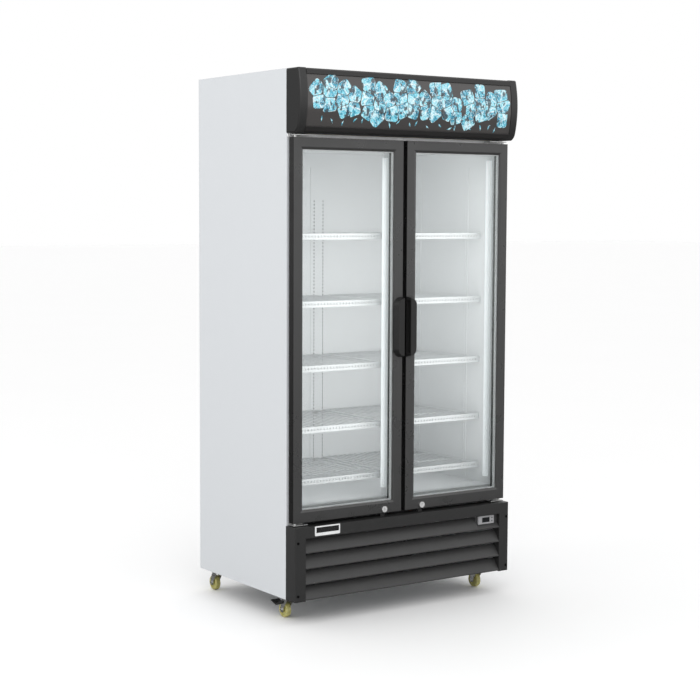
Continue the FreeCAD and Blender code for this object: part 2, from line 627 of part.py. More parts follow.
def fan_motors():
    """The condenser's and the evaporator's fan motors, each on its bracket."""
    c = CONDENSER_FAN
    low = CABINET_BOTTOM + 2
    condenser = fuse([
        rod((c.x, c.y + 14, c.z), (0, 1, 0), 38, 55),
        rod((c.x, c.y - 10, c.z), (0, 1, 0), 3, 30),
        box(c.x - 30, c.x + 30, c.y + 30, c.y + 33, low, c.z),
        box(c.x - 50, c.x + 50, c.y + 30, c.y + 70, low, low + 3)])
    e = EVAPORATOR_FAN
    floor = INNER_CEILING
    evaporator = fuse([
        rod((e.x, e.y, e.z + 14), (0, 0, 1), 32, 46),
        rod((e.x, e.y, e.z - 10), (0, 0, 1), 3, 30),
        box(e.x - 110, e.x + 110, e.y - 8, e.y + 8, e.z + 60, e.z + 63),
        box(e.x - 110, e.x - 107, e.y - 8, e.y + 8, floor, e.z + 62),
        box(e.x + 107, e.x + 110, e.y - 8, e.y + 8, floor, e.z + 62)])
    return condenser, evaporator


def drain_pan():
    """Open tray on the bay floor that catches the defrost water."""
    low = CABINET_BOTTOM + 2
    outer = box(-420, -60, 90, 300, low, low + 45)
    return outer.cut(box(-417, -63, 93, 297, low + 3, low + 50))


def evaporator_cover():
    """False ceiling under the evaporator, with air grilles."""
    cover = box(-INNER_HALF + 1, INNER_HALF - 1, CHAMBER_FRONT + 1, INNER_BACK - 1,
                INNER_CEILING - SHEET, INNER_CEILING)
    e = EVAPORATOR_FAN
    outlet = [box(e.x - 80, e.x + 80, y, y + 5, 1700, 1800) for y in range(int(e.y) - 75, int(e.y) + 75, 10)]
    intake = [box(x, x + 60, 225, 232, 1700, 1800) for x in range(-380, 340, 80)]
    return cover.cut(Part.Compound(outlet + intake))


def tube_path(points, radius):
    """Straight tubes between the points, with ball joints at the bends."""
    pieces = []
    for a, b in zip(points, points[1:]):
        run = V(*b) - V(*a)
        pieces.append(rod(a, (run.x, run.y, run.z), radius, run.Length))
    pieces += [Part.makeSphere(radius, V(*p)) for p in points[1:-1]]
    return fuse(pieces)


def refrigerant_pipes():
    """Discharge line to the condenser, and the filter drier on its liquid line."""
    discharge = tube_path([(260, 130, 223), (260, 130, 300), (260, -60, 300), (260, -210, 300),
                           (80, -210, 300), (80, -210, 250)], 4)
    liquid = tube_path([(80, -210, 130), (120, -210, 130), (120, -60, 130), (120, 60, 130)], 3)
    drier = rod((120, -40, 130), (0, 1, 0), 10, 80)
    return discharge, fuse([liquid, drier])


# casters

def caster_plate(x, y):
    """Mounting plate with a riveted kingpin."""
    plate = box(x - 29, x + 29, y - 29, y + 29, CABINET_BOTTOM - 4, CABINET_BOTTOM)
    pin = rod((x, y, 70), (0, 0, 1), 5, CABINET_BOTTOM - 4 - 70)
    head = rod((x, y, 70), (0, 0, 1), 8, 3.6)
    return fuse([plate, pin, head])


def caster_fork(x, y):
    """Swivel fork with its axle bolt and nuts."""
    crown = rod((x, y, 74), (0, 0, 1), 21, 9.6).cut(rod((x, y, 70), (0, 0, 1), 5 + RUNNING, 20))
    leg = [(y - 15, 78), (y + 17, 78), (y + TRAIL + 9, 42), (y + TRAIL + 9, 24), (y + TRAIL + 5, 19),
           (y + TRAIL - 5, 19), (y + TRAIL - 9, 24), (y + TRAIL - 12, 36)]
    legs = [along_x(leg, x + side, x + side + 2.5) for side in (-15, 12.5)]
    axle = rod((x - 19, y + TRAIL, WHEEL_RADIUS), (1, 0, 0), 3, 38)
    nuts = [rod((x + side, y + TRAIL, WHEEL_RADIUS), (1, 0, 0), 6, 4) for side in (-19, 15)]
    pivot = rod((x - 20, y + PEDAL_PIVOT[0], PEDAL_PIVOT[1]), (1, 0, 0), PEDAL_PIN + RUNNING, 40)
    return fuse([crown, axle] + [leg.cut(pivot) for leg in legs] + nuts)


def caster_wheel(x, y):
    """Wheel with a rounded tread, a raised hub and a bore for the axle."""
    tread = rod((x - WHEEL_HALF, y + TRAIL, WHEEL_RADIUS), (1, 0, 0), WHEEL_RADIUS, 2 * WHEEL_HALF)
    tread = tread.makeFillet(4, [tread.Edges[0], tread.Edges[2]])
    dishes = [rod((x + side, y + TRAIL, WHEEL_RADIUS), (1, 0, 0), 20, 3) for side in (-WHEEL_HALF, WHEEL_HALF - 3)]
    hub = rod((x - 12, y + TRAIL, WHEEL_RADIUS), (1, 0, 0), 8, 24)
    wheel = fuse([tread.cut(Part.Compound(dishes)), hub])
    return wheel.cut(rod((x - 20, y + TRAIL, WHEEL_RADIUS), (1, 0, 0), 3 + RUNNING, 40))


def brake_lever(x, y):
    """Foot pedal behind the wheel, on side arms that turn on the fork legs."""
    arm = [(y + 12, 55), (y + 12, 64), (y + 22, 66), (y + 64, 45), (y + 64, 40), (y + 50, 44)]
    arms = [along_x(arm, x + side, x + side + 2) for side in (-17.3, 15.3)]
    pedal = along_x([(y + 60, 40), (y + 60, 44.5), (y + 98, 53.5), (y + 99, 49.5), (y + 66, 40)], x - 17.3, x + 17.3)
    pivot_y, pivot_z = y + PEDAL_PIVOT[0], PEDAL_PIVOT[1]
    pins = [rod((x + side, pivot_y, pivot_z), (1, 0, 0), PEDAL_PIN, 6) for side in (-18.7, 12.7)]
    bosses = [rod((x + side, pivot_y, pivot_z), (1, 0, 0), 5, 1.4) for side in (-18.7, 17.3)]
    return fuse([pedal] + arms + pins + bosses)


def write_cabinet():
    save("side_panel_left", side_panel())
    save("side_panel_right", mirrored(side_panel()))
    save("back_panel", back_panel())
    save("top_panel", top_panel())
    save("base_tray", base_tray())
    save("foam_insulation", foam_insulation())
    save("inner_liner", *inner_liner())
    save("door_surround", door_surround())
    save("centre_mullion", centre_mullion())
    save("canopy_cap_left", canopy_cap())
    save("canopy_cap_right", mirrored(canopy_cap()))
    save("canopy_housing", canopy_housing())
    save("sign_panel", sign_panel())
    save("sign_lamp", sign_lamp())
    save("trim_strip", trim_strip())
    save("hinge_brackets", *hinge_brackets())
    save("kick_frame", kick_frame())
    save("louvre_slats", *louvre_slats())
    save("panel_screws", *panel_screws())
    save("controller", controller())


def write_interior():
    save("pilasters", *pilasters())
    save("shelf_clips", *shelf_clips())
    right_shelves = shelf_stack()
    save("right_shelves", *right_shelves)
    save("left_shelves", *[mirrored(shelf) for shelf in right_shelves])
    save("price_strips", *price_strips())
    save("interior_lamps", *interior_lamps())


def write_refrigeration():
    save("compressor", compressor())
    save("condenser_coil", fin_coil(-380, 60, -245, -195, 110, 340, 8))
    save("fan_motors", *fan_motors())
    save("drain_pan", drain_pan())
    save("evaporator_coil", fin_coil(-340, 340, 90, 190, 1760, 1940, 6))
    save("evaporator_cover", evaporator_cover())
    save("refrigerant_pipes", *refrigerant_pipes())
    save("condenser_fan", fan_blades(CONDENSER_FAN, V(0, 1, 0), 20, 95, 16))
    save("evaporator_fan", fan_blades(EVAPORATOR_FAN, V(0, 0, 1), 18, 75, 14))


def write_doors():
    frame, panes, spacer = door_frame(), glass_panes(), glass_spacer()
    gasket, handle, lock = door_gasket(), door_handle(), lock_plug()
    save("right_door_frame", frame)
    save("right_glass_panes", *panes)
    save("right_glass_spacer", spacer)
    save("right_door_gasket", gasket)
    save("right_door_handle", handle)
    save("right_lock_plug", lock)
    save("left_door_frame", mirrored(frame))
    save("left_glass_panes", *[mirrored(pane) for pane in panes])
    save("left_glass_spacer", mirrored(spacer))
    save("left_door_gasket", mirrored(gasket))
    save("left_door_handle", mirrored(handle))
    save("left_lock_plug", mirrored(lock))
    for name, z in zip(("controller_up_button", "controller_down_button"), button_heights()):
        save(name, controller_button(z))


def write_casters():
    corners = {"front_left": (-KINGPIN_X, FRONT_KINGPIN_Y), "front_right": (KINGPIN_X, FRONT_KINGPIN_Y),
               "rear_left": (-KINGPIN_X, REAR_KINGPIN_Y), "rear_right": (KINGPIN_X, REAR_KINGPIN_Y)}
    save("caster_plates", *[caster_plate(x, y) for x, y in corners.values()])
    for corner, (x, y) in corners.items():
        save("caster_fork_" + corner, caster_fork(x, y))
        save("caster_wheel_" + corner, caster_wheel(x, y))
        if corner.startswith("front"):
            save("brake_lever_" + corner, brake_lever(x, y))


os.makedirs("parts", exist_ok=True)
write_cabinet()
write_interior()
write_refrigeration()
write_doors()
write_casters()
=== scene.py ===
import math
import random

import bmesh
import bpy
from mathutils import Matrix, Vector


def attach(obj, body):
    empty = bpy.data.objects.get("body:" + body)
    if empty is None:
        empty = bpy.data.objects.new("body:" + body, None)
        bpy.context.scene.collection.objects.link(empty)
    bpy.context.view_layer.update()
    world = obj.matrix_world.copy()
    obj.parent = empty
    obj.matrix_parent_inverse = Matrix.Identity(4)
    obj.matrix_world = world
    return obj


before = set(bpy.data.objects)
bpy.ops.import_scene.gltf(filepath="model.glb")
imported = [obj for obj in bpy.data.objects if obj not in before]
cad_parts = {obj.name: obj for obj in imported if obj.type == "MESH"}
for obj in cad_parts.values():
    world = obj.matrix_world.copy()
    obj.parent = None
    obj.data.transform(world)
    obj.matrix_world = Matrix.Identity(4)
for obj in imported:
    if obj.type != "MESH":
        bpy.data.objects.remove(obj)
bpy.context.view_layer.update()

# The sign panel is part of a cylinder along x, in metres.
SIGN_RADIUS = 0.388
SIGN_AXIS_Y = 0.025
SIGN_AXIS_Z = 1.906

# The ice is printed this far in front of the sign, in a band round this height.
PRINT_LIFT = 0.0004
ICE_MIDDLE_Z = 1.905
ICE_TOP_Z = 1.958
ICE_HALF_LENGTH = 0.418
ICE_COLUMNS = 17
ICE_ROW_STEP = 0.044
CUBE_HALF_SIZES = (0.029, 0.037)
CUBE_REACH = 0.08
FACET_POINTS = 24
SHARDS = 18
SHARD_HALF_LENGTH = 0.40
SHARD_HEIGHTS = (1.816, 1.838)

# The two columns of slots in the centre back pilaster lie this far either side of the middle,
# on the liner's back face and between these heights; the liner is given a painted shade there.
SLOT_COLUMN = 0.0213
SLOT_HALF_WIDTH = 0.004
LINER_BACK_Y = 0.277
SLOTS_MIDDLE_Z = 1.03
SLOTS_HALF_HEIGHT = 0.524

# The blank badge, the controller's window and the sill strip face -y. Each has a middle (x, z),
# a half width and half height, a corner radius, a back face at one y, and a rim in steps of
# (inset, y). The badge's black field is given from the badge's middle.
BADGE_MIDDLE = (-0.360, 0.3425)
BADGE_HALF = (0.055, 0.018)
BADGE_CORNER = 0.003
BADGE_BACK_Y = -0.3379
BADGE_RIM = [(0.0, -0.3392), (0.0006, -0.3399), (0.0020, -0.3400)]
FIELD_HALF_WIDTH = 0.0495
FIELD_TOP = 0.0135
FIELD_BOTTOM = -0.0065
DISPLAY_MIDDLE = (0.394, 0.299)
DISPLAY_HALF = (0.0186, 0.0096)
DISPLAY_CORNER = 0.0012
DISPLAY_BACK_Y = -0.3272
DISPLAY_RIM = [(0.0, -0.3276), (0.0005, -0.3279), (0.0012, -0.3280)]
SILL_MIDDLE = (0.0, 0.36745)
SILL_HALF = (0.455, 0.0062)
SILL_CORNER = 0.002
SILL_BACK_Y = -0.2725
SILL_RIM = [(0.0008, -0.2747), (0.0022, -0.2749)]

# The lamp in one bay's opening: x of its middle, (y, z) of its place, its size and its watts.
BAY_MIDDLE_X = 0.245
BAY_LIGHT_PLACE = (-0.27, 1.08)
BAY_LIGHT_SIZE = (0.34, 1.2)
BAY_LIGHT_POWER = 1.9

# The camera's place, its yaw, pitch and roll in degrees, and its lens in millimetres.
CAMERA_PLACE = (-3.571, -5.168, 1.500)
CAMERA_TURN = (34.40, -4.896, 0.264)
CAMERA_LENS = 82.62


# ---------------------------------------------------------------- node trees


class Graph:
    """The node tree of one new material, with short calls for the nodes that every finish uses."""

    def __init__(self, name):
        self.material = bpy.data.materials.new(name)
        self.material.use_nodes = True
        self.tree = self.material.node_tree
        self.tree.nodes.clear()
        self.output = self.tree.nodes.new("ShaderNodeOutputMaterial")
        self.place = self.tree.nodes.new("ShaderNodeTexCoord").outputs["Object"]

    def put(self, socket, value):
        """Links the socket to another socket, or sets its own value."""
        if isinstance(value, bpy.types.NodeSocket):
            self.tree.links.new(value, socket)
        else:
            socket.default_value = value

    def add(self, kind, values, **settings):
        """A node with its settings, and its input sockets given by name or number."""
        node = self.tree.nodes.new(kind)
        for key, value in settings.items():
            setattr(node, key, value)
        for key, value in values.items():
            self.put(node.inputs[key], value)
        return node

    def stretched(self, scale):
        """The object's own coordinates, stretched by a scale for each axis."""
        return self.add("ShaderNodeMapping", {"Vector": self.place, "Scale": scale}).outputs[0]

    def parts(self):
        """The object's own x, y and z."""
        return self.add("ShaderNodeSeparateXYZ", {0: self.place}).outputs

    def noise(self, scale, detail=3.0, stretch=(1, 1, 1)):
        """Noise from 0 to 1. Scale is in cycles a metre."""
        place = self.stretched(stretch)
        values = {"Vector": place, "Scale": scale, "Detail": detail, "Roughness": 0.55}
        return self.add("ShaderNodeTexNoise", values).outputs["Fac"]

    def cells(self, scale, feature="F1"):
        """A Voronoi texture's node. Scale is in cells a metre."""
        values = {"Vector": self.place, "Scale": scale}
        return self.add("ShaderNodeTexVoronoi", values, feature=feature)

    def spread(self, value, low, high, start=0.0, end=1.0):
        """The value mapped from start…end to low…high."""
        values = {0: value, 1: start, 2: end, 3: low, 4: high}
        return self.add("ShaderNodeMapRange", values, clamp=True).outputs[0]

    def mix(self, share, first, second):
        """A colour between the two."""
        values = {0: share, 6: first, 7: second}
        return self.add("ShaderNodeMix", values, data_type="RGBA").outputs[2]

    def maths(self, operation, first, second=0.0):
        """One arithmetic operation on two values."""
        return self.add("ShaderNodeMath", {0: first, 1: second}, operation=operation).outputs[0]

    def bump(self, height, strength, depth, normal=None):
        """Bump of that depth in metres, on top of another normal."""
        values = {"Height": height, "Strength": strength, "Distance": depth}
        if normal is not None:
            values["Normal"] = normal
        return self.add("ShaderNodeBump", values).outputs[0]

    def soft_edges(self, radius):
        """(the normal with its edges rounded, a mask that is 1 on sharp outer edges)."""
        bevel = self.add("ShaderNodeBevel", {"Radius": radius}, samples=4).outputs[0]
        facing = self.tree.nodes.new("ShaderNodeNewGeometry").outputs["Normal"]
        values = {0: bevel, 1: facing}
        agree = self.add("ShaderNodeVectorMath", values, operation="DOT_PRODUCT").outputs["Value"]
        return bevel, self.spread(agree, 1.0, 0.0, 0.72, 0.97)

    def sideways(self, start, end):
        """A mask that is 1 on faces that look along the world's x, also when the piece has turned."""
        facing = self.tree.nodes.new("ShaderNodeNewGeometry").outputs["Normal"]
        along = self.add("ShaderNodeSeparateXYZ", {0: facing}).outputs[0]
        return self.spread(self.maths("ABSOLUTE", along), 0.0, 1.0, start, end)

    def principled(self, **values):
        """The one shader of a plain surface, linked to the output."""
        names = {key.replace("_", " "): value for key, value in values.items()}
        shader = self.add("ShaderNodeBsdfPrincipled", names)
        self.tree.links.new(shader.outputs[0], self.output.inputs["Surface"])
        return shader


def colour(red, green, blue):
    """A linear colour from red, green and blue as a screen shows them, 0 to 255."""
    parts = [c / 255 for c in (red, green, blue)]
    linear = [c / 12.92 if c <= 0.04045 else ((c + 0.055) / 1.055) ** 2.4 for c in parts]
    return (*linear, 1.0)


def scaled(base, factor):
    """The colour made lighter or darker."""
    return tuple(min(1.0, c * factor) for c in base[:3]) + (1.0,)


# ------------------------------------------------------------------ finishes


def painted(name, base, rough=0.4, peel=0.05, wear=1.35, edge=0.0012, mottle=0.04, shine=0.5, painted_side_shade=1.0):
    """Powder-coated sheet: a fine orange peel, paint thinned on the edges, and a painted shade on faces that
    look along x.
    """
    g = Graph(name)
    normal, worn = g.soft_edges(edge)
    slow = g.noise(3.0, 4.0)
    fine = g.noise(420.0, 2.0)
    ground = g.mix(slow, scaled(base, 1 - mottle), scaled(base, 1 + mottle))
    specks = g.spread(g.noise(160.0, 5.0), 0.0, 0.2, 0.55, 0.75)
    ground = g.mix(specks, ground, scaled(base, 0.92))
    broken = g.maths("MULTIPLY", worn, g.spread(g.noise(60.0, 4.0), 0.15, 0.8, 0.35, 0.65))
    tint = g.mix(broken, ground, scaled(base, wear))
    # Painted shade: faces that look along the world's x take the base colour times painted_side_shade, and a
    # lower specular level.
    end = g.sideways(0.55, 0.75)
    tint = g.mix(end, tint, scaled(base, painted_side_shade))
    gloss = g.spread(g.noise(14.0, 5.0), rough - 0.05, rough + 0.07, 0.3, 0.7)
    sheen = g.spread(end, shine, shine * painted_side_shade)
    dents = g.bump(fine, peel, 0.0004, normal)
    g.principled(Base_Color=tint, Roughness=gloss, Normal=dents, Specular_IOR_Level=sheen)
    return g.material


def moulded(name, base, rough=0.42, grain=0.10, wear=1.5, edge=0.0008, size=900.0):
    """Moulded plastic: a spark-eroded grain, faint flow marks and edges rubbed shiny."""
    g = Graph(name)
    normal, worn = g.soft_edges(edge)
    flow = g.noise(9.0, 3.0, (1, 1, 0.3))
    ground = g.mix(flow, scaled(base, 0.93), scaled(base, 1.07))
    tint = g.mix(g.maths("MULTIPLY", worn, 0.45), ground, scaled(base, wear))
    pits = g.cells(size).outputs["Distance"]
    gloss = g.spread(g.noise(30.0, 4.0), rough - 0.06, rough + 0.08, 0.3, 0.7)
    g.principled(Base_Color=tint, Roughness=gloss, Normal=g.bump(pits, grain, 0.0003, normal))
    return g.material


def liner_paint(name):
    """The liner's white coating, with a painted shade in two strips behind the slots of the centre back
    pilaster.
    """
    g = Graph(name)
    normal, worn = g.soft_edges(0.001)
    ground = g.mix(g.noise(3.0, 4.0), colour(226, 228, 229), colour(234, 235, 236))
    ground = g.mix(g.maths("MULTIPLY", worn, 0.3), ground, colour(240, 240, 240))
    parts = g.parts()
    off_middle = g.maths("ABSOLUTE", parts[0])
    off_column = g.maths("ABSOLUTE", g.maths("SUBTRACT", off_middle, SLOT_COLUMN))
    near_column = g.maths("LESS_THAN", off_column, SLOT_HALF_WIDTH)
    on_back = g.maths("GREATER_THAN", parts[1], LINER_BACK_Y)
    off_slots = g.maths("ABSOLUTE", g.maths("SUBTRACT", parts[2], SLOTS_MIDDLE_Z))
    beside_slots = g.maths("LESS_THAN", off_slots, SLOTS_HALF_HEIGHT)
    # Painted shade: the liner turns dark grey in two strips along the slot columns, behind the slots.
    behind = g.maths("MULTIPLY", g.maths("MULTIPLY", near_column, on_back), beside_slots)
    tint = g.mix(behind, ground, colour(118, 122, 124))
    gloss = g.spread(g.noise(14.0, 5.0), 0.34, 0.44, 0.3, 0.7)
    dents = g.bump(g.noise(420.0, 2.0), 0.04, 0.0004, normal)
    g.principled(Base_Color=tint, Roughness=gloss, Normal=dents)
    return g.material


def cap_plastic(name):
    """The moulded canopy caps: satin towards the front; faces that look along x get a painted shade near
    black and are matt.
    """
    g = Graph(name)
    normal, worn = g.soft_edges(0.0008)
    end = g.sideways(0.75, 0.95)
    ground = g.mix(g.noise(9.0), colour(36, 36, 36), colour(44, 44, 44))
    # Painted shade: faces that look along the world's x turn near black.
    ground = g.mix(end, ground, colour(9, 9, 9))
    tint = g.mix(g.maths("MULTIPLY", worn, 0.3), ground, colour(70, 70, 70))
    pits = g.cells(900.0).outputs["Distance"]
    gloss = g.mix(end, (0.34,) * 3 + (1.0,), (0.62,) * 3 + (1.0,))
    g.principled(Base_Color=tint, Roughness=gloss, Normal=g.bump(pits, 0.1, 0.0003, normal))
    return g.material


def brushed(name, base, rough=0.3, along="x", lines=0.10, edge=0.0006, dull=0.85):
    """Brushed or anodised metal: long scratches along one axis and slightly cloudy patches."""
    g = Graph(name)
    stretch = {"x": (0.02, 1, 1), "y": (1, 0.02, 1), "z": (1, 1, 0.02)}[along]
    normal, worn = g.soft_edges(edge)
    scratch = g.noise(1300.0, 3.0, stretch)
    cloud = g.noise(7.0, 4.0)
    ground = g.mix(cloud, scaled(base, dull), base)
    ground = g.mix(g.spread(scratch, 0.0, 0.5, 0.35, 0.75), ground, scaled(base, 0.78))
    tint = g.mix(g.maths("MULTIPLY", worn, 0.4), ground, scaled(base, 1.25))
    gloss = g.spread(scratch, rough - 0.08, rough + 0.12, 0.3, 0.7)
    dents = g.bump(scratch, lines, 0.0002, normal)
    g.principled(Base_Color=tint, Metallic=1.0, Roughness=gloss, Normal=dents)
    return g.material


def galvanised(name, base, rough=0.42):
    """Hot-dip zinc: crystals a few centimetres across, each with its own shade and gloss."""
    g = Graph(name)
    flake = g.cells(45.0)
    shade = g.add("ShaderNodeSeparateColor", {0: flake.outputs["Color"]}).outputs[0]
    veins = g.noise(210.0, 4.0)
    ground = g.mix(shade, scaled(base, 0.9), scaled(base, 1.06))
    tint = g.mix(g.spread(veins, 0.0, 0.4, 0.4, 0.7), ground, scaled(base, 0.9))
    gloss = g.spread(shade, rough - 0.1, rough + 0.12)
    normal, _ = g.soft_edges(0.0008)
    dents = g.bump(veins, 0.06, 0.0003, normal)
    g.principled(Base_Color=tint, Metallic=0.85, Roughness=gloss, Normal=dents)
    return g.material


def plated(name, base, rough=0.25, rainbow=0.0, metal=1.0):
    """Zinc or chrome plate: fine polishing marks, and where wanted a trace of yellow passivation."""
    g = Graph(name)
    normal, worn = g.soft_edges(0.0005)
    cloud = g.noise(90.0, 4.0)
    ground = g.mix(cloud, scaled(base, 0.9), base)
    warm = g.mix(g.spread(g.noise(45.0, 2.0), 0.0, rainbow, 0.4, 0.7), ground, colour(205, 190, 130))
    tint = g.mix(g.maths("MULTIPLY", worn, 0.5), warm, scaled(base, 1.2))
    gloss = g.spread(cloud, max(0.04, rough - 0.08), rough + 0.08, 0.3, 0.7)
    dents = g.bump(g.noise(700.0, 3.0), 0.04, 0.0002, normal)
    g.principled(Base_Color=tint, Metallic=metal, Roughness=gloss, Normal=dents)
    return g.material


def rubbery(name, base, rough=0.6, grain=0.2):
    """Soft black rubber: matt, with dust in its pores."""
    g = Graph(name)
    dust = g.spread(g.noise(140.0, 6.0), 0.0, 0.5, 0.5, 0.8)
    tint = g.mix(dust, base, scaled(base, 1.9))
    gloss = g.spread(g.noise(50.0, 3.0), rough - 0.08, rough + 0.1, 0.3, 0.7)
    g.principled(Base_Color=tint, Roughness=gloss, Normal=g.bump(g.noise(800.0), grain, 0.0003))
    return g.material


def finned(name, base, pitch, along):
    """A fin pack: thin aluminium fins, with painted shade in the gaps between them."""
    g = Graph(name)
    axis = {"x": 0, "y": 1, "z": 2}[along]
    place = g.parts()[axis]
    phase = g.maths("FRACT", g.maths("DIVIDE", place, pitch))
    ridge = g.maths("PINGPONG", phase, 0.5)
    dust = g.noise(35.0, 5.0)
    ground = g.mix(dust, scaled(base, 0.75), base)
    # Painted shade: the gaps between the fins are dark grey.
    tint = g.mix(g.spread(ridge, 0.75, 0.0, 0.05, 0.3), ground, colour(60, 60, 60))
    dents = g.bump(ridge, 0.5, 0.0008)
    g.principled(Base_Color=tint, Metallic=0.8, Roughness=0.4, Normal=dents)
    return g.material


def copper(name):
    """Drawn copper tube: browned in patches."""
    g = Graph(name)
    stain = g.spread(g.noise(25.0, 5.0), 0.0, 1.0, 0.35, 0.7)
    tint = g.mix(stain, colour(214, 138, 98), colour(150, 88, 60))
    gloss = g.spread(stain, 0.22, 0.45)
    dents = g.bump(g.noise(500.0, 3.0), 0.08, 0.0003)
    g.principled(Base_Color=tint, Metallic=1.0, Roughness=gloss, Normal=dents)
    return g.material


def foamed(name):
    """Polyurethane foam: small closed bubbles, yellowed."""
    g = Graph(name)
    bubble = g.cells(500.0).outputs["Distance"]
    tint = g.mix(g.noise(12.0, 4.0), colour(222, 202, 140), colour(200, 172, 100))
    g.principled(Base_Color=tint, Roughness=0.9, Normal=g.bump(bubble, 0.5, 0.001))
    return g.material


def glass(name):
    """Clear glass pane: mirrors a little, more at a slant, and lets the rest straight through."""
    g = Graph(name)
    smear = g.spread(g.noise(6.0, 5.0, (1, 1, 2.5)), 0.012, 0.05, 0.45, 0.7)
    mirror = g.add("ShaderNodeBsdfPrincipled", {"Base Color": (0.93, 0.97, 0.96, 1.0), "Metallic": 1.0})
    g.put(mirror.inputs["Roughness"], smear)
    clear = g.add("ShaderNodeBsdfTransparent", {"Color": (0.992, 0.996, 0.995, 1.0)})
    slant = g.add("ShaderNodeFresnel", {"IOR": 1.45}).outputs[0]
    share = g.spread(slant, 0.008, 0.9, 0.03, 1.0)
    both = g.add("ShaderNodeMixShader", {0: share, 1: clear.outputs[0], 2: mirror.outputs[0]})
    g.tree.links.new(both.outputs[0], g.output.inputs["Surface"])
    return g.material


def glowing(name, base, strength):
    """Milky lamp cover: soft light with a faint row of diodes behind it."""
    g = Graph(name)
    place = g.parts()[2]
    phase = g.maths("PINGPONG", g.maths("DIVIDE", place, 0.03), 0.5)
    dots = g.spread(phase, 1.0, 0.86, 0.0, 0.5)
    tint = g.mix(dots, scaled(base, 0.9), base)
    frost = g.bump(g.noise(350.0, 2.0), 0.05, 0.0003)
    g.principled(
        Base_Color=tint,
        Roughness=0.35,
        Normal=frost,
        Emission_Color=base,
        Emission_Strength=strength,
    )
    return g.material


def wheel_rubber(name):
    """Translucent olive polyurethane: scuffed where it rolls."""
    g = Graph(name)
    scuff = g.spread(g.noise(120.0, 5.0), 0.0, 0.6, 0.5, 0.75)
    ground = g.mix(g.noise(20.0, 2.0), colour(196, 190, 128), colour(164, 158, 88))
    tint = g.mix(scuff, ground, colour(96, 92, 52))
    dents = g.bump(g.noise(500.0, 3.0), 0.12, 0.0004)
    gloss = g.spread(scuff, 0.28, 0.55)
    g.principled(
        Base_Color=tint,
        Roughness=gloss,
        Normal=dents,
        Subsurface_Weight=0.35,
        Subsurface_Radius=(0.006, 0.005, 0.002),
        Subsurface_Scale=1.0,
    )
    return g.material


def sign_face(name):
    """The sign's printed acrylic: near black, and glossy on top."""
    g = Graph(name)
    cloud = g.noise(4.0, 4.0, (0.6, 1, 1))
    tint = g.mix(cloud, colour(56, 54, 54), colour(74, 72, 71))
    gloss = g.spread(g.noise(12.0, 5.0), 0.10, 0.2, 0.35, 0.7)
    ripple = g.bump(g.noise(8.0, 1.0), 0.05, 0.002)
    g.principled(Base_Color=tint, Roughness=gloss, Normal=ripple, Coat_Weight=0.5, Coat_Roughness=0.05)
    return g.material


def printed_ice(name):
    """Ice printed on the sign: the facets' own colours, with frost, dark cracks and clear holes."""
    g = Graph(name)
    facet = g.add("ShaderNodeVertexColor", {}, layer_name="facet").outputs["Color"]
    frost = g.noise(190.0, 4.0)
    tint = g.mix(g.spread(frost, 0.0, 0.8, 0.52, 0.62), facet, colour(216, 244, 252))
    crack = g.cells(75.0, "DISTANCE_TO_EDGE").outputs["Distance"]
    tint = g.mix(g.spread(crack, 0.55, 0.0, 0.0, 0.05), tint, colour(24, 84, 108))
    clear = g.noise(52.0, 3.0, (1.0, 1.0, 0.7))
    tint = g.mix(g.spread(clear, 0.0, 0.88, 0.56, 0.6), tint, colour(58, 60, 64))
    gloss = g.spread(frost, 0.12, 0.22)
    g.principled(Base_Color=tint, Roughness=gloss, Coat_Weight=0.5, Coat_Roughness=0.05)
    return g.material


